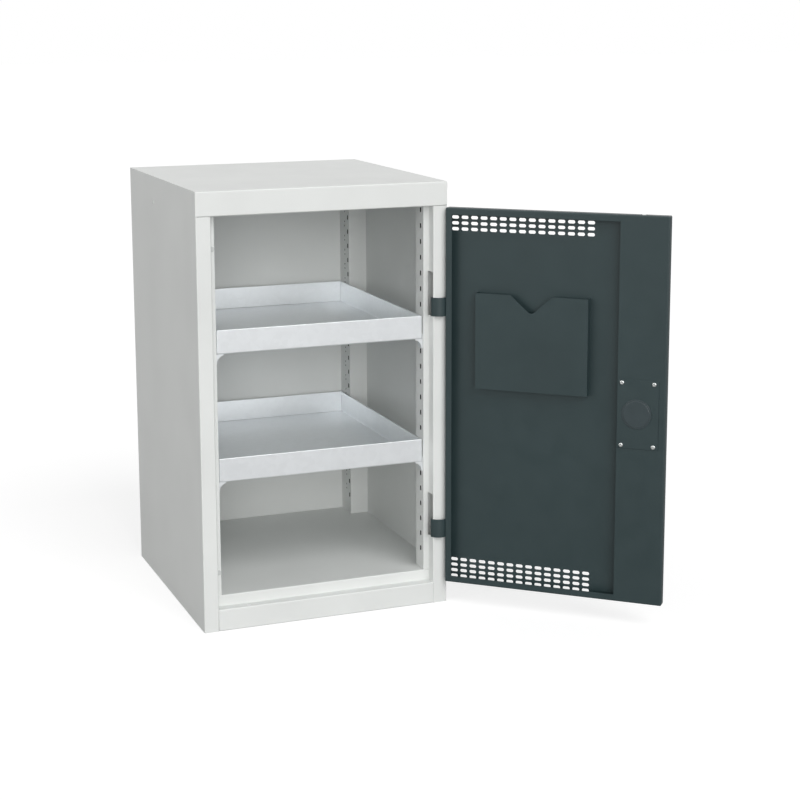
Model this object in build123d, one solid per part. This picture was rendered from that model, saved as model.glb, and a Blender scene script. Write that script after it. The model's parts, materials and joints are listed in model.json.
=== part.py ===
"""Sheet-steel reagent cabinet with one wing door and two lift-out tray shelves.

All pieces are laid out with x across the front, z up and y measured back from the front face. save() then moves
them so that the origin is the centre of the base. The door is laid out closed and swung open about its hinge pins.
"""
import math
import os

from build123d import *

# Carcass, folded from sheet steel
width = 500.0
depth = 520.0
height = 845.0
sheet = 1.0
bend_radius = 2.5          # outside of a fold
stile_width = 29.0
fascia_height = 47.0
plinth_height = 43.0
floor_rise = 21.0          # floor above the plinth
rebate_setback = 22.3      # door stop behind the front face
rebate_width = 12.6
rear_flange = 15.0
base_flange = 22.0
back_recess = 15.0
seam = 0.2                 # between sheets that butt

# Slotted uprights
upright_depth = 39.7
rear_upright_depth = 57.0
slot_pitch = 31.0
slot_width = 6.4
slot_height = 9.6
slot_corner = 1.6
slot_first = 41.4          # lowest slot above the floor
slot_setback = 14.0        # front slots behind the rebate strip
rear_slot_setback = 8.0    # rear slots behind the upright's front fold
fixing_hole_radius = 2.0
fixing_hole_setback = 27.0
fixing_hole_spread = 9.2

# Door, a pan with return flanges
door_thickness = 20.0
door_gap = 2.5
return_flange = 13.0
lock_return = 93.0         # return over the lock works
open_angle = 138.0

# Vents, rows of slots at the top and at the bottom of the door
vent_length = 14.0
vent_width = 6.4
vent_pitch = 19.25
vent_columns = 15
vent_rows = 4
vent_row_pitch = 11.4
vent_edge = 14.0           # first column's centre from the hinge edge
vent_margin = 8.5          # outermost row's centre from the door's end

# Lift-off hinges
pin_inset = 14.0           # pin axis from the outer side
pin_setback = 9.5          # pin axis behind the front face
pin_radius = 2.95
pin_clearance = 0.05
strap_thickness = 2.0
strap_height = 36.5
strap_corner = 2.0
strap_leaf = 10.0
strap_rise = 3.0           # where the leaf turns, behind the pin
strap_turn = 205.0         # where the strap starts to go round the stile's corner
strap_slot_rise = 1.0      # where the strap's slot in the door starts, behind the pin
swing_clearance = 0.6
hinge_room_bottom = 136.0  # lower room
hinge_room_drop = 216.0    # upper room's bottom below the stile's top
hinge_room_height = 87.0
hinge_room_front = 2.0
hinge_room_inset = 2.0     # cut into the rebate strip
washer_thickness = 1.0
washer_radius = 5.2
lug_thickness = 3.0
lug_half_width = 8.0
lug_nose = 6.5
bracket_thickness = 2.5
bracket_margin = 12.0
bracket_gap = 1.8          # behind the strap's outermost path
pin_proud = 4.0

# Wall and cover of the lock channel
lock_setback = 55.0        # spindle from the door's lock edge
channel_foot = 12.0
cover_width = 80.0
cover_height = 133.0
cover_thickness = 1.5
cover_rise = 2.1           # cover's middle below the spindle
cover_opening = (51.0, 105.0)
cover_opening_rise = 1.0
screw_inset = 9.0
screw_rise = 6.0
screw_shank_radius = 1.9
screw_length = 7.0
screw_head_radius = 4.2
screw_head_height = 2.2
screw_head_round = 1.5
screw_clearance = 0.1
screw_recess_radius = 1.7
screw_recess_width = 1.0
cap_radius = 28.5
cap_height = 2.4
cap_step = 3.0

# Lock works
lock_drop = 2.0            # spindle below the door's middle
case_width = 48.0
case_height = 88.0
case_depth = 15.0
case_wall = 1.5
spindle_radius = 6.0
spindle_clearance = 0.05
cam_setback = 3.0          # cam behind the case's front wall
cam_thickness = 3.0
cam_radius = 12.5
cam_pin_radius = 2.5
cam_pin_length = 5.0
rod_radius = 4.0
rod_offset = 4.0
rod_proud = 1.0
rod_travel = 12.0
rod_clearance = 0.15
rod_slot_clearance = 0.6   # where the rods leave the case
rod_hole_clearance = 1.0
rod_plate_thickness = 2.5
rod_plate_gap = 1.0
rod_plate_lap = 6.0        # along the rod
rod_start = 16.0           # round part of a rod from the spindle
track_play = 0.35
track_end = 0.75           # past the cam pin at its outermost and innermost places
track_wall = 2.2
guide_height = 12.0
guide_wall = 4.0
guide_setback = 115.0      # rod guides from the door's ends

# Handle
plate_width = 46.0
plate_height = 150.0
plate_thickness = 4.0
hub_radius = 17.0
hub_height = 24.0
hub_clearance = 0.3
grip_length = 112.0
grip_width = 20.0
grip_thickness = 12.0
grip_edge = 3.0
plug_radius = 8.0
plug_depth = 14.0
plug_proud = 1.0
plug_floor = 1.0           # between key plug and spindle
key_slot = (1.6, 9.0, 3.0)

# Document pocket
pocket_edge = 61.0         # from the hinge edge
pocket_width = 223.5
pocket_drop = 163.5        # its top below the door's
pocket_height = 188.0
pocket_depth = 18.0
notch_inset = 70.0
notch_top = 83.5
notch_depth = 37.0
notch_bottom_radius = 9.0

# Trays
tray_side_gap = 1.4
tray_setback = 25.0
tray_depth = 475.0
tray_height = 46.0
tray_hem = 6.0
tray_levels = (6, 14)      # slots that carry the trays
tray_slot_drop = 4.9       # tray's underside below the slot's centre
clip_reach = 15.0
clip_drop = 19.0
clip_length = 20.0
clip_rise = 10.0
tongue_width = 5.0
tongue_height = 6.5
tongue_length = 3.4
tongue_hook = 3.0

# Small parts
buffer_radius = 5.0
buffer_height = 1.9
buffer_rise = 64.5         # lower buffer above the door's bottom
buffer_drop = 60.5         # upper buffer below the door's top
plug_hole_radius = 3.5
plug_head_radius = 4.5
plug_head_height = 0.8
plug_stem = 4.0
plug_setback = 325.0
plug_drop = 52.0           # below the cabinet's top

# What follows from the driving dimensions
half = width / 2
mid = sheet / 2
stile_x = half - stile_width
rebate_x = stile_x + sheet - rebate_width
rebate_back = rebate_setback + sheet
stile_top = height - fascia_height
floor_top = plinth_height + floor_rise
under_top = height - sheet
back_y = depth - back_recess
inside = half - sheet
door_half = stile_x - door_gap
door_bottom = plinth_height + door_gap
door_top = stile_top - door_gap
door_inner = door_thickness - sheet
plug_height = height - plug_drop
hinge_rooms = (hinge_room_bottom, stile_top - hinge_room_drop)
pin_x = half - pin_inset
lock_x = lock_setback - door_half
lock_height = (door_bottom + door_top) / 2 - lock_drop
rod_y = door_thickness / 2
cam_pin_orbit = rod_travel / math.sqrt(2)
top_rod_x = lock_x - rod_offset
bottom_rod_x = lock_x + rod_offset


def block(x0, x1, y0, y1, z0, z1):
    """Box between two corners."""
    return Pos((x0 + x1) / 2, (y0 + y1) / 2, (z0 + z1) / 2) * Box(x1 - x0, y1 - y0, z1 - z0)


def upright_bar(x, y, radius, z0, z1):
    """Cylinder along z."""
    return Pos(x, y, (z0 + z1) / 2) * Cylinder(radius, z1 - z0)


def depth_bar(x, z, radius, y0, y1):
    """Cylinder along y."""
    return Pos(x, (y0 + y1) / 2, z) * Rot(90, 0, 0) * Cylinder(radius, y1 - y0)


def folded(points, thickness=sheet, radius=bend_radius):
    """Section of a folded sheet whose middle runs through the points."""
    return trace(FilletPolyline(*points, radius=radius - thickness / 2), thickness)


def folded_up(points, z0, z1):
    """Folded sheet with upright folds; the points are (x, y)."""
    return Pos(0, 0, z0) * extrude(folded(points), amount=z1 - z0)


def folded_across(points, reach):
    """Folded sheet with folds across the cabinet; the points are (y, z)."""
    return extrude(Plane.YZ.offset(-reach) * folded(points), amount=2 * reach)


def open_pan(x0, x1, y0, y1, z0, z1, lip, left_lip):
    """Pan of sheet that is open to the back, with inward lips round its mouth."""
    outside = block(x0, x1, y0, y1, z0, z1)
    hollow = block(x0 + sheet, x1 - sheet, y0 + sheet, y1 - sheet, z0 + sheet, z1 - sheet)
    mouth = block(x0 + left_lip, x1 - lip, y1 - 2 * sheet, y1 + sheet, z0 + lip, z1 - lip)
    return fillet(outside.edges(), bend_radius) - fillet(hollow.edges(), bend_radius - sheet) - mouth


def mirrored(shape):
    """Left-hand copy of a piece laid out on the right."""
    return mirror(shape, about=Plane.YZ)


def swung(shape):
    """A door piece, laid out closed, in the open pose."""
    return Pos(pin_x, pin_setback, 0) * Rot(0, 0, open_angle) * Pos(-pin_x, -pin_setback, 0) * shape


def save(node, shape):
    """Write one piece with the origin at the centre of the base."""
    export_step(Pos(0, -depth / 2, 0) * shape, f"parts/{node}.step")


# Carcass

def side_panel(hinge_side):
    """Side wall, stile and rear flange from one sheet, laid out on the right."""
    rear = [(half - rear_flange, depth - mid), (half - mid, depth - mid)]
    stile = [(half - mid, mid), (stile_x + mid, mid), (stile_x + mid, rebate_setback + mid),
             (rebate_x, rebate_setback + mid)]
    panel = folded_up(rear + stile, 0, stile_top)
    panel += folded_up(rear + [(half - mid, sheet)], stile_top, under_top)
    panel += block(half - base_flange, inside, rebate_back, back_y - seam, 0, sheet)
    panel -= block(rebate_x - sheet, stile_x, rebate_setback - bend_radius, rebate_back + sheet, -sheet, floor_top)
    panel -= Pos(half, plug_setback, plug_height) * Rot(0, 90, 0) * Cylinder(plug_hole_radius, 4 * sheet)
    if hinge_side:
        for room in hinge_rooms:
            panel -= block(stile_x - hinge_room_inset, stile_x + 2 * sheet, hinge_room_front,
                           rebate_back + sheet, room, room + hinge_room_height)
    return panel


def top_panel():
    """Top and fascia from one sheet; the fascia's return carries the hole for the upper rod."""
    profile = [(depth, under_top + mid), (mid, under_top + mid), (mid, stile_top + mid),
               (rebate_back, stile_top + mid)]
    panel = folded_across(profile, half)
    for x0, x1 in ((-half - sheet, -inside), (inside, half + sheet)):
        panel -= block(x0, x1, sheet, depth, stile_top - sheet, under_top)
    lip = half - rear_flange - seam
    panel += block(-lip, lip, depth - sheet, depth, under_top - rear_flange, under_top)
    return panel - upright_bar(top_rod_x, rod_y, rod_radius + rod_hole_clearance,
                               stile_top - sheet, stile_top + 2 * sheet)


def back_panel():
    """Recessed back with flanges to the rear."""
    outside = block(-inside, inside, back_y, depth - bend_radius, 0, under_top)
    return outside - block(-inside + sheet, inside - sheet, back_y + sheet, depth, sheet, under_top - sheet)


def floor_panel():
    """Floor with the door's lower stop in front and flanges at the sides and the back."""
    profile = [(rebate_setback + mid, plinth_height), (rebate_setback + mid, floor_top - mid),
               (back_y - mid, floor_top - mid), (back_y - mid, plinth_height)]
    panel = folded_across(profile, stile_x)
    for side in (-1, 1):
        inner, edge = sorted((side * stile_x, side * inside))
        panel += block(inner, edge, rebate_back + seam, back_y, floor_top - sheet, floor_top)
        low, high = sorted((side * (inside - sheet), side * inside))
        panel += block(low, high, rebate_back + seam, back_y, plinth_height, floor_top - sheet)
    return panel


def plinth():
    """Plinth between the stiles; its top return carries the hole for the lower rod."""
    profile = [(base_flange, mid), (mid, mid), (mid, plinth_height - mid), (rebate_back, plinth_height - mid)]
    panel = folded_across(profile, stile_x)
    return panel - upright_bar(bottom_rod_x, rod_y, rod_radius + rod_hole_clearance,
                               plinth_height - 2 * sheet, plinth_height + sheet)


def slot_heights():
    """Heights of the slots in an upright."""
    count = int((stile_top - floor_top - slot_first) / slot_pitch) + 1
    return [floor_top + slot_first + slot_pitch * i for i in range(count)]


def web_holes(y, sketch, heights):
    """Cutters of one outline through an upright's web."""
    cutter = extrude(Plane.YZ * sketch, amount=2 * sheet, both=True)
    return [Pos(rebate_x + mid, y, z) * cutter for z in heights]


def front_upright():
    """Angle behind the rebate strip, with one column of slots."""
    back = rebate_back + upright_depth
    profile = [(rebate_x + mid, rebate_back), (rebate_x + mid, back - mid), (inside, back - mid)]
    upright = folded_up(profile, floor_top, under_top)
    slot = RectangleRounded(slot_width, slot_height, slot_corner)
    return upright - web_holes(front_slot_y, slot, slot_heights())


def rear_upright():
    """Angle in front of the back, with slots and pairs of fixing holes."""
    front = back_y - rear_upright_depth
    profile = [(inside, front + mid), (rebate_x + mid, front + mid), (rebate_x + mid, back_y)]
    upright = folded_up(profile, floor_top, under_top)
    slot = RectangleRounded(slot_width, slot_height, slot_corner)
    upright -= web_holes(rear_slot_y, slot, slot_heights())
    pairs = [z + slot_pitch / 2 + side * fixing_hole_spread / 2 for z in slot_heights()[:-1] for side in (-1, 1)]
    return upright - web_holes(front + fixing_hole_setback, Circle(fixing_hole_radius), pairs)


front_slot_y = rebate_setback + sheet + slot_setback
rear_slot_y = back_y - rear_upright_depth + rear_slot_setback

for side, hand in (("left", mirrored), ("right", lambda shape: shape)):
    save(f"{side}_side_panel", hand(side_panel(hinge_side=side == "right")))
    save(f"front_{side}_upright", hand(front_upright()))
    save(f"rear_{side}_upright", hand(rear_upright()))

save("top_panel", top_panel())
save("back_panel", back_panel())
save("floor_panel", floor_panel())
save("plinth", plinth())


# Hinges: the strap goes round the stile's corner without touching it on the way

eye_bore = pin_radius + pin_clearance
eye_radius = eye_bore + strap_thickness
corner_reach = math.hypot(pin_x - stile_x - bend_radius, pin_setback - bend_radius) + bend_radius
wrap = corner_reach + swing_clearance + strap_thickness / 2
bracket_y = pin_setback + wrap + strap_thickness / 2 + bracket_gap
leaf_x = door_half - sheet - strap_thickness / 2 - pin_x


def on_circle(radius, degrees):
    """Point on a circle round the hinge pin."""
    return radius * math.cos(math.radians(degrees)), radius * math.sin(math.radians(degrees))


def strap_path():
    """Middle of the strap in the open pose, seen from above, with the pin at the origin."""
    eye_line = -(eye_bore + strap_thickness / 2)
    turn_radius = math.hypot(leaf_x, strap_rise)
    turn_angle = math.degrees(math.atan2(strap_rise, leaf_x))
    last_tangent = open_angle + turn_angle - math.degrees(math.acos(wrap / turn_radius))
    half_wrap = (last_tangent - strap_turn) / 2
    apex = on_circle(wrap / math.cos(math.radians(half_wrap)), strap_turn + half_wrap)
    touch = on_circle(wrap, strap_turn)
    slide = (eye_line - touch[1]) / math.cos(math.radians(strap_turn))
    shoulder = (touch[0] - slide * math.sin(math.radians(strap_turn)), eye_line)
    leaf_end = math.hypot(leaf_x, strap_rise - strap_leaf)
    leaf_angle = math.degrees(math.atan2(strap_rise - strap_leaf, leaf_x))
    points = [(0, eye_line), shoulder, apex, on_circle(turn_radius, open_angle + turn_angle),
              on_circle(leaf_end, open_angle + leaf_angle)]
    return FilletPolyline(*points, radius=[strap_corner, wrap, strap_corner])


def hinge_strap(bottom):
    """Swan-neck strap with a rolled eye; its leaf lies inside the door's edge."""
    section = trace(strap_path(), strap_thickness) + Circle(eye_radius)
    section -= Circle(eye_bore)
    return Pos(pin_x, pin_setback, bottom) * extrude(section, amount=strap_height)


def hinge_bracket(room):
    """Plate behind the stile with the lug that carries the pin."""
    seat = room - lug_thickness
    plate = block(rebate_x + sheet, inside, bracket_y, bracket_y + bracket_thickness,
                  seat - bracket_margin, room + hinge_room_height + bracket_margin)
    lug = block(pin_x - lug_half_width, pin_x + lug_half_width, pin_setback - lug_nose, bracket_y, seat, room)
    lug = fillet(lug.edges().filter_by(Axis.Z).group_by(Axis.Y)[0], lug_nose / 2)
    return plate + lug - upright_bar(pin_x, pin_setback, pin_radius, seat, room)


def hinge_pin(room):
    """Fixed pin with a bevelled head."""
    top = room + washer_thickness + strap_height + pin_proud
    pin = upright_bar(pin_x, pin_setback, pin_radius, room - lug_thickness, top)
    return chamfer(pin.edges().group_by(Axis.Z)[-1], pin_radius / 3)


def hinge_washer(room):
    """Ring between lug and eye."""
    ring = upright_bar(pin_x, pin_setback, washer_radius, room, room + washer_thickness)
    return ring - upright_bar(pin_x, pin_setback, eye_bore, room, room + washer_thickness)


for name, room in zip(("lower", "upper"), hinge_rooms):
    save(f"{name}_hinge_bracket", hinge_bracket(room))
    save(f"{name}_hinge_pin", hinge_pin(room))
    save(f"{name}_hinge_washer", hinge_washer(room))
    save(f"{name}_hinge_strap", hinge_strap(room + washer_thickness))


# Door

def vent_field():
    """Cutters of the slots at the top and the bottom of the door."""
    slot = extrude(Plane.XZ * SlotOverall(vent_length, vent_width), amount=2 * sheet, both=True)
    columns = [door_half - vent_edge - vent_pitch * i for i in range(vent_columns)]
    rows = [vent_margin + vent_row_pitch * i for i in range(vent_rows)]
    levels = [door_bottom + row for row in rows] + [door_top - row for row in rows]
    return [Pos(x, 0, z) * slot for x in columns for z in levels]


channel_right = lock_return - door_half
cover_left = channel_right - cover_width
cover_middle = lock_height - cover_rise / 2
cover_y = door_thickness + cover_thickness
screw_places = [(x, cover_middle + side * (cover_height / 2 - screw_rise))
                for x in (cover_left + screw_inset, channel_right - screw_inset) for side in (-1, 1)]


def screw_holes(radius):
    """Cutters for the four cover screws."""
    return [depth_bar(x, z, radius, door_inner - sheet, cover_y + sheet) for x, z in screw_places]


def door_panel():
    """Door pan whose lock-side return covers the lock works, with its vents and all its holes."""
    panel = open_pan(-door_half, door_half, 0, door_thickness, door_bottom, door_top, return_flange, lock_return)
    panel -= vent_field()
    panel -= screw_holes(screw_shank_radius + screw_clearance)
    opening = Pos(channel_right - cover_width / 2, door_thickness, cover_middle + cover_opening_rise)
    panel -= opening * Box(cover_opening[0], 4 * sheet, cover_opening[1])
    for room in hinge_rooms:
        bottom = room + washer_thickness - seam
        panel -= block(door_half - 2 * sheet, door_half + sheet, pin_setback + strap_slot_rise,
                       door_inner - 2 * seam, bottom, bottom + strap_height + 2 * seam)
    hole = rod_radius + rod_hole_clearance
    panel -= upright_bar(top_rod_x, rod_y, hole, door_top - 2 * sheet, door_top + sheet)
    panel -= upright_bar(bottom_rod_x, rod_y, hole, door_bottom - sheet, door_bottom + 2 * sheet)
    return panel - depth_bar(lock_x, lock_height, spindle_radius + rod_hole_clearance, -sheet, 2 * sheet)


def channel_wall():
    """Angle that closes the lock channel, from the edge of the door's return to the door's sheet."""
    profile = [(channel_right - mid, door_inner), (channel_right - mid, sheet + mid),
               (channel_right - channel_foot, sheet + mid)]
    return folded_up(profile, door_bottom + bend_radius, door_top - bend_radius)


def lock_cover_plate():
    """Plate over the lock with bevelled edges."""
    plate = block(cover_left, channel_right, door_thickness, cover_y,
                  cover_middle - cover_height / 2, cover_middle + cover_height / 2)
    plate = chamfer(plate.faces().sort_by(Axis.Y)[-1].edges(), cover_thickness / 3)
    return plate - screw_holes(screw_shank_radius + screw_clearance)


def cover_screw(x, z):
    """Pan-head screw with a cross recess."""
    head = depth_bar(x, z, screw_head_radius, cover_y, cover_y + screw_head_height)
    head = fillet(head.edges().group_by(Axis.Y)[-1], screw_head_round)
    shank = depth_bar(x, z, screw_shank_radius, cover_y + screw_head_height / 2 - screw_length, cover_y)
    arm = Pos(x, cover_y + screw_head_height, z) * Box(2 * screw_recess_radius, screw_head_height, screw_recess_width)
    return head + shank - arm - Pos(x, 0, z) * Rot(0, 90, 0) * Pos(-x, 0, -z) * arm


def spindle_cap():
    """Round stepped cap over the inner end of the spindle."""
    base = depth_bar(lock_x, lock_height, cap_radius, cover_y, cover_y + cap_height / 2)
    disc = depth_bar(lock_x, lock_height, cap_radius - cap_step, cover_y, cover_y + cap_height)
    disc = fillet(disc.edges().group_by(Axis.Y)[-1], cap_height / 3)
    return fillet(base.edges().group_by(Axis.Y)[-1], cap_height / 6) + disc


def document_pocket():
    """Pocket on the door's inside, open at the top, with a thumb notch in its front."""
    right = door_half - pocket_edge
    left = right - pocket_width
    back, top = sheet + pocket_depth, door_top - pocket_drop
    bottom = top - pocket_height
    pocket = block(left, right, sheet, back, bottom, top)
    pocket -= block(left + sheet, right - sheet, 0, back - sheet, bottom + sheet, top + sheet)
    first = right - notch_inset
    outline = Polyline((first, top + sheet), (first, top), (first - notch_top / 2, top - notch_depth),
                       (first - notch_top, top), (first - notch_top, top + sheet), close=True)
    cutter = extrude(Plane.XZ * make_face(outline), amount=-back - sheet)
    lowest = cutter.edges().filter_by(Axis.Y).group_by(Axis.Z)[0]
    return pocket - (fillet(lowest, notch_bottom_radius) & block(left, right, back - 2 * sheet, back, 0, top + sheet))


save("door_panel", swung(door_panel()))
save("channel_wall", swung(channel_wall()))
save("lock_cover_plate", swung(lock_cover_plate()))
save("spindle_cap", swung(spindle_cap()))
save("document_pocket", swung(document_pocket()))
save("cover_screws", swung(Part() + [cover_screw(x, z) for x, z in screw_places]))


# Lock works

case_front = sheet
case_back = case_front + case_depth
cam_front = case_front + cam_setback
cam_back = cam_front + cam_thickness
rod_slot = rod_radius + rod_slot_clearance


def lock_case():
    """Box round the cam, open where the rods leave it."""
    x0, x1 = lock_x - case_width / 2, lock_x + case_width / 2
    z0, z1 = lock_height - case_height / 2, lock_height + case_height / 2
    case = block(x0, x1, case_front, case_back, z0, z1)
    case -= block(x0 + case_wall, x1 - case_wall, case_front + case_wall, case_back - case_wall,
                  z0 + case_wall, z1 - case_wall)
    for x, low, high in ((top_rod_x, z1 - 2 * case_wall, z1 + case_wall),
                         (bottom_rod_x, z0 - case_wall, z0 + 2 * case_wall)):
        case -= block(x - rod_slot, x + rod_slot, rod_y - rod_slot, case_back - case_wall, low, high)
    return case - depth_bar(lock_x, lock_height, spindle_radius + spindle_clearance, 0, case_front + case_wall)


def lock_cam():
    """Cam plate on the spindle with a pin for each rod."""
    cam = depth_bar(lock_x, lock_height, cam_radius, cam_front, cam_back)
    cam -= depth_bar(lock_x, lock_height, spindle_radius, cam_front, cam_back)
    reach = cam_pin_orbit * math.sqrt(0.5)
    for side in (-1, 1):
        cam += depth_bar(lock_x + side * reach, lock_height + side * reach, cam_pin_radius,
                         cam_front, cam_back + cam_pin_length)
    return cam


def lock_rod(upward):
    """Round rod with a slotted end plate that rides on the cam's pin; laid out for the upper one."""
    reach = cam_pin_orbit * math.sqrt(0.5)
    tip = door_top - lock_height if upward else lock_height - door_bottom
    side = -rod_offset
    rod = upright_bar(side, rod_y, rod_radius, rod_start, tip + rod_proud)
    rod = chamfer(rod.edges().group_by(Axis.Z)[-1], rod_radius / 4)
    plate_y = cam_back + rod_plate_gap
    outer = -cam_pin_orbit - cam_pin_radius - track_end - track_wall
    inner = -reach + cam_pin_radius + track_end + track_wall
    slot_half = cam_pin_radius + track_play
    plate = block(outer, inner, plate_y, plate_y + rod_plate_thickness, -reach - slot_half - track_wall,
                  rod_start + rod_plate_lap)
    plate -= block(outer + track_wall, inner - track_wall, plate_y, plate_y + rod_plate_thickness,
                   -reach - slot_half, -reach + slot_half)
    whole = rod + plate
    if not upward:
        whole = Rot(0, 180, 0) * whole
    return Pos(lock_x, 0, lock_height) * whole


def rod_guide(x, z):
    """Block on the door sheet with a bore for a rod."""
    guide = block(x - rod_radius - guide_wall, x + rod_radius + guide_wall, sheet, rod_y + rod_radius + guide_wall / 2,
                  z - guide_height / 2, z + guide_height / 2)
    return guide - upright_bar(x, rod_y, rod_radius + rod_clearance, z - guide_height / 2, z + guide_height / 2)


def handle_plate():
    """Long plate under the handle, with rounded ends."""
    outline = Plane.XZ * RectangleRounded(plate_width, plate_height, plate_width / 2 - seam)
    plate = Pos(lock_x, 0, lock_height) * extrude(outline, amount=plate_thickness)
    plate = fillet(plate.faces().sort_by(Axis.Y)[0].edges(), plate_thickness / 3)
    return plate - depth_bar(lock_x, lock_height, spindle_radius + spindle_clearance, -plate_thickness, 0)


hub_foot = -plate_thickness - hub_clearance
hub_face = hub_foot - hub_height


def spindle():
    """Round spindle from the handle's hub to the cam."""
    return depth_bar(lock_x, lock_height, spindle_radius, hub_face + plug_depth + plug_floor, cam_back)


def door_handle():
    """Lever with a round hub; it points away from the lock edge when unlocked."""
    hub = depth_bar(lock_x, lock_height, hub_radius, hub_face, hub_foot)
    hub = fillet(hub.edges().group_by(Axis.Y)[0], grip_edge)
    outline = Plane.XZ.offset(-hub_face - grip_thickness) * SlotOverall(grip_length, grip_width)
    grip = extrude(outline, amount=grip_thickness)
    grip = Pos(lock_x + grip_length / 2 - grip_width / 2, 0, lock_height) * grip
    grip = fillet(grip.edges().filter_by(GeomType.LINE) + grip.edges().filter_by(GeomType.CIRCLE), grip_edge)
    whole = hub + grip
    whole -= depth_bar(lock_x, lock_height, plug_radius + spindle_clearance, hub_face - sheet, hub_face + plug_depth)
    return whole - depth_bar(lock_x, lock_height, spindle_radius, hub_face + plug_depth + plug_floor, hub_foot)


def key_plug():
    """Key plug in the hub with a slot for the key."""
    plug = depth_bar(lock_x, lock_height, plug_radius, hub_face - plug_proud, hub_face + plug_depth - seam)
    plug = fillet(plug.edges().group_by(Axis.Y)[0], plug_proud / 2)
    slot = Box(key_slot[0], 2 * key_slot[2], key_slot[1])
    return plug - Pos(lock_x, hub_face - plug_proud, lock_height) * slot


save("lock_case", swung(lock_case()))
save("lock_cam", swung(lock_cam()))
save("lock_spindle", swung(spindle()))
save("top_lock_rod", swung(lock_rod(upward=True)))
save("bottom_lock_rod", swung(lock_rod(upward=False)))
save("top_rod_guide", swung(rod_guide(top_rod_x, door_top - guide_setback)))
save("bottom_rod_guide", swung(rod_guide(bottom_rod_x, door_bottom + guide_setback)))
save("handle_plate", swung(handle_plate()))
save("door_handle", swung(door_handle()))
save("key_plug", swung(key_plug()))


# Trays and the clips that hang them in the uprights

tray_half = rebate_x - tray_side_gap


def rim_outline(inset):
    """Outline of the tray, drawn in by so much."""
    return RectangleRounded(2 * (tray_half - inset), tray_depth - 2 * inset, bend_radius - inset)


def tray(bottom):
    """Folded tray with an open hem round its rim."""
    y0, y1, top = tray_setback, tray_setback + tray_depth, bottom + tray_height
    outside = block(-tray_half, tray_half, y0, y1, bottom, top)
    inner = block(-tray_half + sheet, tray_half - sheet, y0 + sheet, y1 - sheet, bottom + sheet, top + sheet)
    outside = fillet(outside.edges() - outside.faces().sort_by(Axis.Z)[-1].edges(), bend_radius)
    inner = fillet(inner.edges() - inner.faces().sort_by(Axis.Z)[-1].edges(), bend_radius - sheet)
    mouth = Rectangle(2 * (tray_half - 3 * sheet), tray_depth - 6 * sheet)
    hem = extrude(rim_outline(mid) - mouth, amount=tray_hem)
    hem -= extrude(rim_outline(sheet) - rim_outline(2 * sheet), amount=tray_hem - sheet)
    whole = outside - inner + Pos(0, (y0 + y1) / 2, top - tray_hem) * hem
    return fillet(whole.faces().sort_by(Axis.Z)[-1].edges(), sheet - seam)


def tray_clip(level, slot_y, facing):
    """Clip with a tab under the tray, a curved gusset and a hook in the upright's slot; facing is +1 or -1."""
    x1 = rebate_x
    tab_top = level - tray_slot_drop
    y0, y1 = sorted((slot_y - facing * clip_length / 2, slot_y + facing * clip_length / 2))
    clip = block(x1 - sheet, x1, y0, y1, tab_top - clip_drop, tab_top + clip_rise)
    clip += block(x1 - clip_reach, x1, y0, y1, tab_top - sheet, tab_top)
    gusset_y = y0 if facing > 0 else y1 - sheet
    gusset = block(x1 - clip_reach, x1, gusset_y, gusset_y + sheet, tab_top - clip_drop, tab_top)
    hollow = Pos(x1 - clip_reach, gusset_y, tab_top - clip_drop) * extrude(
        Plane.XZ * Ellipse(clip_reach - 2 * sheet, clip_drop - 3 * sheet), amount=-sheet)
    clip += gusset - hollow
    tongue = block(x1, x1 + tongue_length, slot_y - tongue_width / 2, slot_y + tongue_width / 2,
                   level - tongue_height / 2, level + tongue_height / 2)
    hook_foot = level - tongue_height / 2 - tongue_hook
    hook = block(x1 + sheet + seam, x1 + tongue_length, slot_y - tongue_width / 2, slot_y + tongue_width / 2,
                 hook_foot, level)
    return clip + tongue + hook


for name, slot_number in zip(("lower", "upper"), tray_levels):
    slot_level = slot_heights()[slot_number]
    save(f"{name}_tray", tray(slot_level - tray_slot_drop))
    for end, slot_y, facing in (("front", front_slot_y, 1), ("rear", rear_slot_y, -1)):
        clip = tray_clip(slot_level, slot_y, facing)
        save(f"{name}_tray_{end}_right_clip", clip)
        save(f"{name}_tray_{end}_left_clip", mirrored(clip))


# Small parts

def door_buffer(z):
    """Soft button on the left rebate strip."""
    x = (door_half + rebate_x) / -2
    button = depth_bar(x, z, buffer_radius, rebate_setback - buffer_height, rebate_setback)
    return fillet(button.edges().group_by(Axis.Y)[0], buffer_height / 2)


def side_plug():
    """Blind plug in the side wall, laid out on the right."""
    turned = Pos(half, plug_setback, plug_height) * Rot(0, 90, 0)
    head = turned * Pos(0, 0, plug_head_height / 2) * Cylinder(plug_head_radius, plug_head_height)
    head = fillet(head.edges().group_by(Axis.X)[-1], plug_head_height / 2)
    stem = turned * Pos(0, 0, -plug_stem / 2) * Cylinder(plug_hole_radius - screw_clearance, plug_stem)
    return head + stem


for name, z in (("lower", door_bottom + buffer_rise), ("upper", door_top - buffer_drop)):
    save(f"{name}_door_buffer", door_buffer(z))
save("right_side_plug", side_plug())
save("left_side_plug", mirrored(side_plug()))
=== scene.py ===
"""Looks of a sheet-steel reagent cabinet with one wing door and two galvanised trays.

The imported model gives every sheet, hinge and lock part its shape and place. This script gives each its finish, and
sets the camera and the light of a plain product photograph.
"""
import json
import logging
import math
from dataclasses import dataclass, field
from enum import Enum
from typing import Any, ClassVar, NamedTuple

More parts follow.
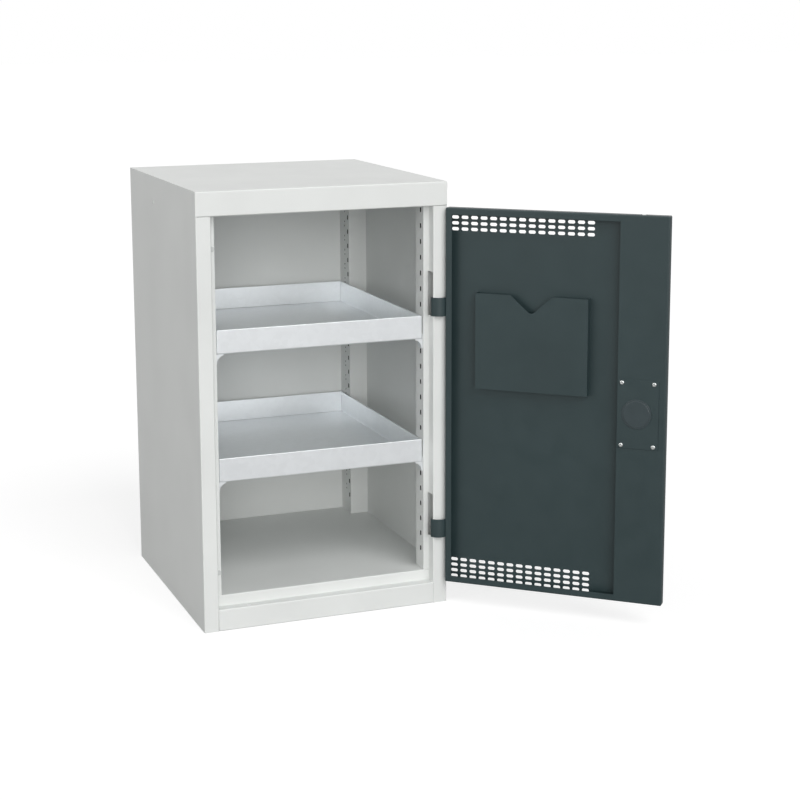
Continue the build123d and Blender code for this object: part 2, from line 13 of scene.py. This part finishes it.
import bpy
from mathutils import Euler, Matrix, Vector

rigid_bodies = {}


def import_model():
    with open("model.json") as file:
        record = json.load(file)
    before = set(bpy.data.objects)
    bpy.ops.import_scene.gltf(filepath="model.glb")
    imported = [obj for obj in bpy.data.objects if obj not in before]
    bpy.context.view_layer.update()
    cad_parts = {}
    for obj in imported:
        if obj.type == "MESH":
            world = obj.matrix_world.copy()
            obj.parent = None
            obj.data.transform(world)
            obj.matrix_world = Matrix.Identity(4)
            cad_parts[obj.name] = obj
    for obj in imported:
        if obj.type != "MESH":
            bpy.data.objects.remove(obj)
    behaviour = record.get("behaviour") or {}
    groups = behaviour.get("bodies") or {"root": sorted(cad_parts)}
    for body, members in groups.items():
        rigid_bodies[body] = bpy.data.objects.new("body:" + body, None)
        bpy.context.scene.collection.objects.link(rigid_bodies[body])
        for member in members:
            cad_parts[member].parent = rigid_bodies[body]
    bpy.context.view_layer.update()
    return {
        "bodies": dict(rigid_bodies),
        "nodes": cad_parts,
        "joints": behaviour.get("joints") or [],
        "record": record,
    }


Tree = bpy.types.NodeTree
Node = bpy.types.Node
Socket = bpy.types.NodeSocket
Colour = tuple[float, float, float, float]
Range = tuple[float, float]

LOG = logging.getLogger("reagent_cabinet")
MM = 0.001
WHITE = "FFFFFF"
AHEAD = 90.0                        # degrees about x that turn a camera or a sun from straight down to level
BUMP_STRENGTH = 0.6
NOISE_SPREAD: Range = (0.3, 0.7)    # where nearly all of a noise pattern's values lie
CELL_SPREAD: Range = (0.0, 1.0)     # where the tones of Voronoi cells lie
WAVES_PER_UNIT = 20 / math.tau      # how often Blender's wave texture repeats over one unit at scale 1


class Level(Enum):
    """Which of two pieces, one above the other."""

    LOWER = "lower"
    UPPER = "upper"


class Side(Enum):
    """Which side of the cabinet, seen from the front."""

    LEFT = "left"
    RIGHT = "right"


class End(Enum):
    """Which end of the cabinet's depth."""

    FRONT = "front"
    REAR = "rear"


# ---------------------------------------------------------------------------------------------------------------
# Colours and nodes

def linear(hex_colour: str) -> Colour:
    """Turn an sRGB hex colour into linear RGBA, by the standard's own curve.

    Args:
        hex_colour: Six hex digits.

    Returns:
        The colour as Blender's sockets hold it.
    """
    channels = [int(hex_colour[i:i + 2], 16) / 255 for i in (0, 2, 4)]
    red, green, blue = (c / 12.92 if c <= 0.04045 else ((c + 0.055) / 1.055) ** 2.4 for c in channels)
    return red, green, blue, 1.0


def shaded(colour: Colour, factor: float) -> Colour:
    """Return a linear colour, lighter or darker by a factor."""
    red, green, blue = (min(1.0, channel * factor) for channel in colour[:3])
    return red, green, blue, 1.0


def per_metre(size_mm: float) -> float:
    """Return the pattern scale that repeats once in so many millimetres."""
    return 1 / (size_mm * MM)


def add_node(tree: Tree, kind: str, settings: dict[str, Any] | None = None, values: dict[Any, Any] | None = None,
             links: dict[Any, Any] | None = None) -> Node:
    """Add one node with its settings, socket values and incoming links.

    Args:
        tree: The node tree.
        kind: The node's type name.
        settings: Properties of the node itself.
        values: Input socket to value.
        links: Input socket to the output socket that feeds it.

    Returns:
        The new node.
    """
    node = tree.nodes.new(kind)
    for name, value in (settings or {}).items():
        setattr(node, name, value)
    for socket, value in (values or {}).items():
        node.inputs[socket].default_value = value
    for socket, source in (links or {}).items():
        tree.links.new(source, node.inputs[socket])
    return node


# ---------------------------------------------------------------------------------------------------------------
# Finishes

class Patterns(NamedTuple):
    """Values over a surface that drive its finish."""

    tone: Socket                        # from the darkest to the lightest shade
    sheen: Socket                       # from one end of the roughness to the other
    relief: Socket                      # height


@dataclass(frozen=True)
class Finish:
    """A principled shader whose colour, roughness and relief follow patterns of a real size."""

    name: str
    colour: str
    roughness: float
    metallic: float = 0.0
    ior: float = 1.5                    # for all but metals, which keep the shader's own
    shades: Range = (1.0, 1.0)          # factors on the colour, for the darkest and the lightest place
    sheens: Range = (0.0, 0.0)          # what the sheen adds to the roughness at its two ends
    relief_mm: float = 0.0              # depth of the relief
    spread: Range = NOISE_SPREAD        # values of tone and sheen that stand for the two ends

    def material(self) -> bpy.types.Material:
        """Return the material, made once."""
        made = bpy.data.materials.get(self.name)
        if made is None:
            made = bpy.data.materials.new(self.name)
            made.use_nodes = True
            made.diffuse_color = linear(self.colour)
            tree = made.node_tree
            tree.nodes.clear()
            place = add_node(tree, "ShaderNodeTexCoord").outputs["Object"]
            patterns = self.patterns(tree, place)
            rough = add_node(tree, "ShaderNodeMapRange", values={
                "From Min": self.spread[0], "From Max": self.spread[1], "To Min": self.roughness + self.sheens[0],
                "To Max": self.roughness + self.sheens[1]}, links={"Value": patterns.sheen})
            raised = add_node(tree, "ShaderNodeBump", values={
                "Strength": BUMP_STRENGTH, "Distance": self.relief_mm * MM}, links={"Height": patterns.relief})
            shader = add_node(tree, "ShaderNodeBsdfPrincipled", values={
                "Base Color": linear(self.colour), "Roughness": self.roughness, "Metallic": self.metallic}, links={
                "Base Color": self.base_colour(tree, place, patterns.tone), "Roughness": rough.outputs["Result"],
                "Normal": raised.outputs["Normal"]})
            if not self.metallic:
                shader.inputs["IOR"].default_value = self.ior
            add_node(tree, "ShaderNodeOutputMaterial", links={"Surface": shader.outputs["BSDF"]})
        return made

    def patterns(self, tree: Tree, place: Socket) -> Patterns:
        """Add the patterns that make this finish what it is.

        Args:
            tree: The material's node tree.
            place: Where a point lies on the object.

        Returns:
            The patterns for tone, sheen and relief.
        """
        raise NotImplementedError

    def base_colour(self, tree: Tree, place: Socket, tone: Socket) -> Socket:
        """Spread the colour between its darkest and its lightest shade.

        Args:
            tree: The material's node tree.
            place: Not used here; CarcassCoat's override reads it.
            tone: The pattern to follow.

        Returns:
            The colour over the surface.
        """
        dark, light = (shaded(linear(self.colour), factor) for factor in self.shades)
        share = add_node(tree, "ShaderNodeMapRange", values={"From Min": self.spread[0], "From Max": self.spread[1]},
                         links={"Value": tone})
        return add_node(tree, "ShaderNodeMix", {"data_type": "RGBA"}, {"A": dark, "B": light},
                        {"Factor": share.outputs["Result"]}).outputs["Result"]


@dataclass(frozen=True)
class PowderCoat(Finish):
    """Powder, baked: a satin skin with a fine orange peel, cloudy only by a hair."""

    shades: Range = (0.975, 1.025)
    sheens: Range = (-0.05, 0.05)
    relief_mm: float = 0.05
    cloud_mm: float = 140.0             # unevenness of the sprayed layer
    scuff_mm: float = 35.0              # patches where hands and cloths have rubbed
    peel_mm: float = 1.6                # orange peel

    def patterns(self, tree: Tree, place: Socket) -> Patterns:
        """Clouds for the tone, rubbed patches for the sheen and orange peel for the relief.

        Args:
            tree: The material's node tree.
            place: Where a point lies on the object.

        Returns:
            The patterns for tone, sheen and relief.
        """
        return Patterns(*(
            add_node(tree, "ShaderNodeTexNoise", values={"Scale": per_metre(size_mm), "Detail": detail},
                     links={"Vector": place}).outputs["Fac"]
            for size_mm, detail in ((self.cloud_mm, 3.0), (self.scuff_mm, 6.0), (self.peel_mm, 1.0))))


@dataclass(frozen=True)
class CarcassCoat(PowderCoat):
    """The same powder on the welded housing, with painted shade: near black in the hollows behind the uprights."""

    # painted shade: a near-black colour put in the hollows and on the slots' cut edges, where shade falls
    painted_shade_colour: str = "1A1B1B"
    # Ranges, in metres, of x to either side of the middle, of y and of z
    hollow_x: Range = (0.2120, 0.2495)
    # the edges of the uprights' slots and holes below are painted dark as shade
    cut_edge_x: Range = (0.2096, 0.2121)        # cut edges of the uprights' slots and holes
    sheets_z: Range = (0.0635, 0.8435)
    # boxes that get painted shade: the two hollows and the slots' cut edges, front and rear
    painted_shade_places: tuple[tuple[Range, Range, Range], ...] = (
        (hollow_x, (-0.2362, -0.1975), sheets_z), (hollow_x, (0.1885, 0.2455), sheets_z),
        (cut_edge_x, (-0.2362, -0.1995), sheets_z), (cut_edge_x, (0.1905, 0.2455), sheets_z))

    def base_colour(self, tree: Tree, place: Socket, tone: Socket) -> Socket:
        """Powder outside, painted shade in the hollows and on the slots' cut edges.

        Args:
            tree: The material's node tree.
            place: Where a point lies on the object.
            tone: The pattern that the powder follows.

        Returns:
            The colour over the surface.
        """
        powder = super().base_colour(tree, place, tone)
        return add_node(tree, "ShaderNodeMix", {"data_type": "RGBA"}, {"B": linear(self.painted_shade_colour)},
                        {"Factor": self.painted_shade_mask(tree, place), "A": powder}).outputs["Result"]

    def painted_shade_mask(self, tree: Tree, place: Socket) -> Socket:
        """Find the places that get painted shade: the hollows and the slots' cut edges.

        Args:
            tree: The material's node tree.
            place: Where a point lies on the object.

        Returns:
            1 at those places and 0 elsewhere.
        """
        axes = add_node(tree, "ShaderNodeSeparateXYZ", links={0: place}).outputs
        across = add_node(tree, "ShaderNodeMath", {"operation": "ABSOLUTE"}, links={0: axes["X"]}).outputs[0]
        boxes = []
        for ranges in self.painted_shade_places:
            x_in, y_in, z_in = (
                add_node(tree, "ShaderNodeMath", {"operation": "COMPARE"},
                         {1: (low + high) / 2, 2: (high - low) / 2}, {0: axis}).outputs[0]
                for axis, (low, high) in zip((across, axes["Y"], axes["Z"]), ranges))
            plan = add_node(tree, "ShaderNodeMath", {"operation": "MULTIPLY"}, links={0: x_in, 1: y_in}).outputs[0]
            boxes.append(add_node(tree, "ShaderNodeMath", {"operation": "MULTIPLY"}, links={0: plan, 1: z_in}))
        mask, *others = (box.outputs[0] for box in boxes)
        for box in others:
            mask = add_node(tree, "ShaderNodeMath", {"operation": "MAXIMUM"}, links={0: mask, 1: box}).outputs[0]
        return mask


@dataclass(frozen=True)
class GalvanisedSheet(Finish):
    """Galvanised sheet, skin-passed: the zinc's crystals, the spangle, are rolled flat and show only by a hair."""

    shades: Range = (0.986, 1.014)
    sheens: Range = (-0.02, 0.02)
    relief_mm: float = 0.002
    spread: Range = CELL_SPREAD
    spangle_mm: float = 9.0
    wander: float = 0.5                 # how far a crystal's outline strays, as a share of its size
    ripple_mm: float = 3.0              # what the rolls leave of the crystals' height

    def patterns(self, tree: Tree, place: Socket) -> Patterns:
        """Crystals with outlines that noise bends for tone and sheen, and a shallow ripple for the relief.

        Args:
            tree: The material's node tree.
            place: Where a point lies on the object.

        Returns:
            The patterns for tone, sheen and relief.
        """
        bends, ripple = (
            add_node(tree, "ShaderNodeTexNoise", values={"Scale": per_metre(size_mm), "Detail": 2.0},
                     links={"Vector": place}).outputs
            for size_mm in (self.spangle_mm, self.ripple_mm))
        offset = add_node(tree, "ShaderNodeVectorMath", {"operation": "SCALE"},
                          {"Scale": self.spangle_mm * MM * self.wander}, {0: bends["Color"]})
        bent_place = add_node(tree, "ShaderNodeVectorMath", {"operation": "ADD"},
                              links={0: place, 1: offset.outputs["Vector"]})
        cells = add_node(tree, "ShaderNodeTexVoronoi", values={"Scale": per_metre(self.spangle_mm)},
                         links={"Vector": bent_place.outputs["Vector"]})
        crystals = add_node(tree, "ShaderNodeSeparateColor", links={0: cells.outputs["Color"]}).outputs[0]
        return Patterns(crystals, crystals, ripple["Fac"])


@dataclass(frozen=True)
class BrightMetal(Finish):
    """Turned or pressed metal, plated or plain, with fine tool marks and a tarnish in patches."""

    shades: Range = (0.88, 1.05)
    sheens: Range = (0.07, -0.04)       # dull where it is dark
    relief_mm: float = 0.01
    patch_mm: float = 9.6               # patches of tarnish
    mark_mm: float = 1.508              # pitch of the tool marks; real ones are finer, but wouldn't show
    mark_wander: float = 1.5            # how much the marks waver

    def patterns(self, tree: Tree, place: Socket) -> Patterns:
        """Patches for tone and sheen, and tool marks one above the other for the relief.

        Args:
            tree: The material's node tree.
            place: Where a point lies on the object.

        Returns:
            The patterns for tone, sheen and relief.
        """
        patches = add_node(tree, "ShaderNodeTexNoise", values={"Scale": per_metre(self.patch_mm), "Detail": 4.0},
                           links={"Vector": place}).outputs["Fac"]
        marks = add_node(tree, "ShaderNodeTexWave", {"bands_direction": "Z"}, {
            "Scale": per_metre(self.mark_mm * WAVES_PER_UNIT), "Distortion": self.mark_wander}, {"Vector": place})
        return Patterns(patches, patches, marks.outputs["Fac"])


@dataclass(frozen=True)
class MouldedPlastic(Finish):
    """Injection-moulded plastic with a spark-eroded grain that takes the shine off."""

    shades: Range = (0.97, 1.03)
    sheens: Range = (-0.02, 0.02)
    relief_mm: float = 0.008
    touch_mm: float = 21.0              # patches that hands have polished
    grain_mm: float = 0.7               # the real grain is finer, but wouldn't show

    def patterns(self, tree: Tree, place: Socket) -> Patterns:
        """Touched patches for tone and sheen, and the mould's grain for the relief.

        Args:
            tree: The material's node tree.
            place: Where a point lies on the object.

        Returns:
            The patterns for tone, sheen and relief.
        """
        touch, grain = (
            add_node(tree, "ShaderNodeTexNoise", values={"Scale": per_metre(size_mm), "Detail": detail},
                     links={"Vector": place}).outputs["Fac"]
            for size_mm, detail in ((self.touch_mm, 3.0), (self.grain_mm, 1.0)))
        return Patterns(touch, touch, grain)


# Epoxy polyester powder, sprayed and baked on sheet steel: an even satin skin with soft, broad highlights.
# Its hollows behind the uprights and its slots' cut edges carry painted shade, near black.
CARCASS_COAT = CarcassCoat("light_grey_powder_with_painted_shade", "E1E3E1", 0.42)
# The same powder on the hinge brackets, without the painted shade: light all round, although they sit in a hollow.
BRACKET_COAT = PowderCoat("light_grey_powder_on_brackets", "E1E3E1", 0.42)
# The same kind of powder in anthracite: dark, a little green, with a wide dull sheen.
DOOR_COAT = PowderCoat("anthracite_powder_coat", "273739", 0.44, shades=(0.95, 1.05))
# Galvanised sheet steel, skin-passed: pale bluish metal that blurs what it mirrors. Zinc is never a clean mirror,
# because a thin white oxide lies on it, so it is metallic only in part.
TRAY_ZINC = GalvanisedSheet("skin_passed_galvanised", "F2F5F7", 0.38, metallic=0.7)
# Steel, turned or stamped, with bright zinc plating: silvery, with small sharp glints on screws and pins.
BRIGHT_ZINC = BrightMetal("bright_zinc_plate", "DEE1E0", 0.24, metallic=1.0)
# Brass, turned: a thin warm ring between lug and eye.
TURNED_BRASS = BrightMetal("turned_brass", "D6B067", 0.3, metallic=1.0)
# Zinc die casting, chromed and satined: cool and bright, with reflections a little blurred.
SATIN_CHROME = BrightMetal("satin_chrome", "D5D6D8", 0.2, metallic=1.0)
# Polyamide, moulded to go with the door: smoother and a little glossier than the powder round it.
CAP_PLASTIC = MouldedPlastic("anthracite_polyamide", "374245", 0.3)
# Nylon with glass fibre, moulded in black: a dull grip with one soft highlight.
BLACK_NYLON = MouldedPlastic("black_glass_filled_nylon", "1B1C1E", 0.48)
# Polyethylene, moulded: pale and waxy.
GREY_PLASTIC = MouldedPlastic("light_grey_polyethylene", "D8DAD8", 0.5)
# Thermoplastic elastomer, moulded: soft and dull, with hardly a highlight.
SOFT_BUFFER = MouldedPlastic("soft_grey_elastomer", "C9CCCA", 0.65)


# ---------------------------------------------------------------------------------------------------------------
# The cabinet

@dataclass
class SubAssembly:
    """Pieces of the frame that share a body, with what dresses them."""

    frame: dict[str, Any]
    finishes: ClassVar[dict[str, Finish]] = {}

    def dress(self) -> None:
        """Give every piece its finish."""
        for name, finish in self.finishes.items():
            node = self.frame["nodes"][name]
            node.data.materials.clear()
            node.data.materials.append(finish.material())
            LOG.info("%s: %s", name, finish.name)


@dataclass
class Carcass(SubAssembly):
    """Welded housing, uprights, clips and the fixed halves of the hinges."""

    finishes: ClassVar[dict[str, Finish]] = {
        **{name: CARCASS_COAT for name in (
            "left_side_panel", "right_side_panel", "top_panel", "back_panel", "floor_panel", "plinth")},
        **{f"{end.value}_{side.value}_upright": CARCASS_COAT for end in End for side in Side},
        **{f"{level.value}_hinge_bracket": BRACKET_COAT for level in Level},
        **{f"{level.value}_hinge_pin": BRIGHT_ZINC for level in Level},
        **{f"{level.value}_hinge_washer": TURNED_BRASS for level in Level},
        **{f"{level.value}_tray_{end.value}_{side.value}_clip": TRAY_ZINC
           for level in Level for end in End for side in Side},
        **{f"{level.value}_door_buffer": SOFT_BUFFER for level in Level},
        **{f"{side.value}_side_plug": GREY_PLASTIC for side in Side},
    }


@dataclass
class WingDoor(SubAssembly):
    """Door pan with its vents, pocket, lock channel, straps and lock works."""

    finishes: ClassVar[dict[str, Finish]] = {
        **{name: DOOR_COAT for name in ("door_panel", "channel_wall", "lock_cover_plate", "document_pocket")},
        **{f"{level.value}_hinge_strap": DOOR_COAT for level in Level},
        "spindle_cap": CAP_PLASTIC,
        **{name: BRIGHT_ZINC for name in (
            "cover_screws", "lock_case", "lock_cam", "lock_spindle", "top_lock_rod", "bottom_lock_rod")},
        **{name: BLACK_NYLON for name in ("top_rod_guide", "bottom_rod_guide", "handle_plate", "door_handle")},
        "key_plug": SATIN_CHROME,
    }


@dataclass
class SpillTrays(SubAssembly):
    """The two trays that lift out."""

    finishes: ClassVar[dict[str, Finish]] = {f"{level.value}_tray": TRAY_ZINC for level in Level}


# ---------------------------------------------------------------------------------------------------------------
# Studio

@dataclass(frozen=True)
class SunLamp:
    """A soft sun lamp; its angles are in degrees."""

    name: str
    strength: float                 # irradiance, in watts a square metre
    softness: float                 # apparent size
    azimuth: float                  # 0 in front of the cabinet, positive to its right
    elevation: float                # above the horizon

    def place(self) -> None:
        """Add the lamp to the scene."""
        data = bpy.data.lights.new(self.name, "SUN")
        data.energy = self.strength
        data.angle = math.radians(self.softness)
        lamp = bpy.data.objects.new(self.name, data)
        lamp.rotation_euler = Euler((math.radians(AHEAD - self.elevation), 0, math.radians(self.azimuth)), "XYZ")
        bpy.context.scene.collection.objects.link(lamp)
        LOG.info("%s: %.2f", self.name, self.strength)


@dataclass
class Studio:
    """Camera, lamps, floor and white surroundings."""

    # The camera stands where the photograph's was. It looks a little down and shifts less, so that other views
    # are framed well too. Lengths are in metres, angles in degrees.
    photo_width: float = 800.0      # in pixels
    sensor_mm: float = 36.0
    focal_px: float = 1775.1
    axis_px: float = 320.0          # where the camera's axis meets the photograph, from its top
    station: Vector = field(default_factory=lambda: Vector((-1.0830, -3.3974, 1.1908)))
    yaw: float = 21.504
    pitch: float = -10.264
    roll: float = 0.148
    sight: float = 100.0            # how far the camera sees

    lamps: tuple[SunLamp, ...] = (
        SunLamp("key_light", 1.25, 35.0, 15.0, 42.0),
        SunLamp("fill_light", 1.15, 30.0, -12.0, 7.0),
        SunLamp("side_light", 0.6, 40.0, -75.0, 15.0))
    ambient: float = 0.40           # the surroundings as a light
    backdrop: float = 1.0           # the surroundings as seen, full white
    floor_size: float = 60.0
    paper: str = "B8B8B8"
    paper_glow: float = 0.68        # what the camera sees on top, so that the paper shows white

    def camera(self) -> None:
        """Place the camera where the photograph was taken."""
        data = bpy.data.cameras.new("photo_camera")
        data.sensor_width = self.sensor_mm
        data.lens = self.focal_px * self.sensor_mm / self.photo_width
        data.shift_y = self.axis_px / self.photo_width - 0.5
        data.clip_end = self.sight
        camera = bpy.data.objects.new("photo_camera", data)
        camera.location = self.station
        camera.rotation_euler = Euler(
            (math.radians(AHEAD + self.pitch), math.radians(self.roll), math.radians(-self.yaw)), "XYZ")
        bpy.context.scene.collection.objects.link(camera)
        bpy.context.scene.camera = camera
        LOG.info("photo_camera: %.1f mm", data.lens)

    def surroundings(self) -> None:
        """White world: full white where the camera, gloss or glass sees it, softer as a light."""
        world = bpy.data.worlds.new("white_surroundings")
        bpy.context.scene.world = world
        world.use_nodes = True
        tree = world.node_tree
        tree.nodes.clear()
        rays = add_node(tree, "ShaderNodeLightPath").outputs
        seen = rays["Is Camera Ray"]
        for kind in ("Transmission", "Glossy"):
            seen = add_node(tree, "ShaderNodeMath", {"operation": "MAXIMUM"},
                            links={0: seen, 1: rays[f"Is {kind} Ray"]}).outputs[0]
        lit, shown = (add_node(tree, "ShaderNodeBackground", values={"Color": linear(WHITE), "Strength": strength})
                      for strength in (self.ambient, self.backdrop))
        mixed = add_node(tree, "ShaderNodeMixShader", links={0: seen, 1: lit.outputs[0], 2: shown.outputs[0]})
        add_node(tree, "ShaderNodeOutputWorld", links={"Surface": mixed.outputs[0]})

    def paper_material(self) -> bpy.types.Material:
        """Return matt paper: it takes the soft shadow, and the glow that only the camera sees lifts it to white."""
        paper = bpy.data.materials.new("white_paper")
        paper.use_nodes = True
        tree = paper.node_tree
        tree.nodes.clear()
        camera_ray = add_node(tree, "ShaderNodeLightPath").outputs["Is Camera Ray"]
        matt = add_node(tree, "ShaderNodeBsdfDiffuse", values={"Color": linear(self.paper)})
        glow = add_node(tree, "ShaderNodeEmission", values={"Color": linear(WHITE), "Strength": self.paper_glow})
        lifted = add_node(tree, "ShaderNodeAddShader", links={0: matt.outputs[0], 1: glow.outputs[0]})
        mixed = add_node(tree, "ShaderNodeMixShader", links={
            0: camera_ray, 1: matt.outputs[0], 2: lifted.outputs[0]})
        add_node(tree, "ShaderNodeOutputMaterial", links={"Surface": mixed.outputs[0]})
        return paper

    def floor(self) -> None:
        """Lay the floor that the cabinet stands on."""
        bpy.ops.object.select_all(action="DESELECT")
        bpy.ops.mesh.primitive_plane_add(size=self.floor_size, location=(0, 0, 0))
        plane = bpy.context.object
        plane.name = "studio_floor"
        plane.data.materials.append(self.paper_material())
        LOG.info("studio_floor: white_paper")

    def build(self) -> None:
        """Set up the whole studio."""
        bpy.context.scene.view_settings.view_transform = "Standard"
        self.camera()
        self.surroundings()
        for lamp in self.lamps:
            lamp.place()
        self.floor()


def main() -> None:
    """Set the stage and dress the cabinet."""
    logging.basicConfig(level=logging.INFO, format="%(name)s %(message)s")
    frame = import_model()
    bpy.ops.object.select_all(action="DESELECT")
    Studio().build()
    for assembly in (Carcass, WingDoor, SpillTrays):
        assembly(frame).dress()


if __name__ == "__main__":
    main()
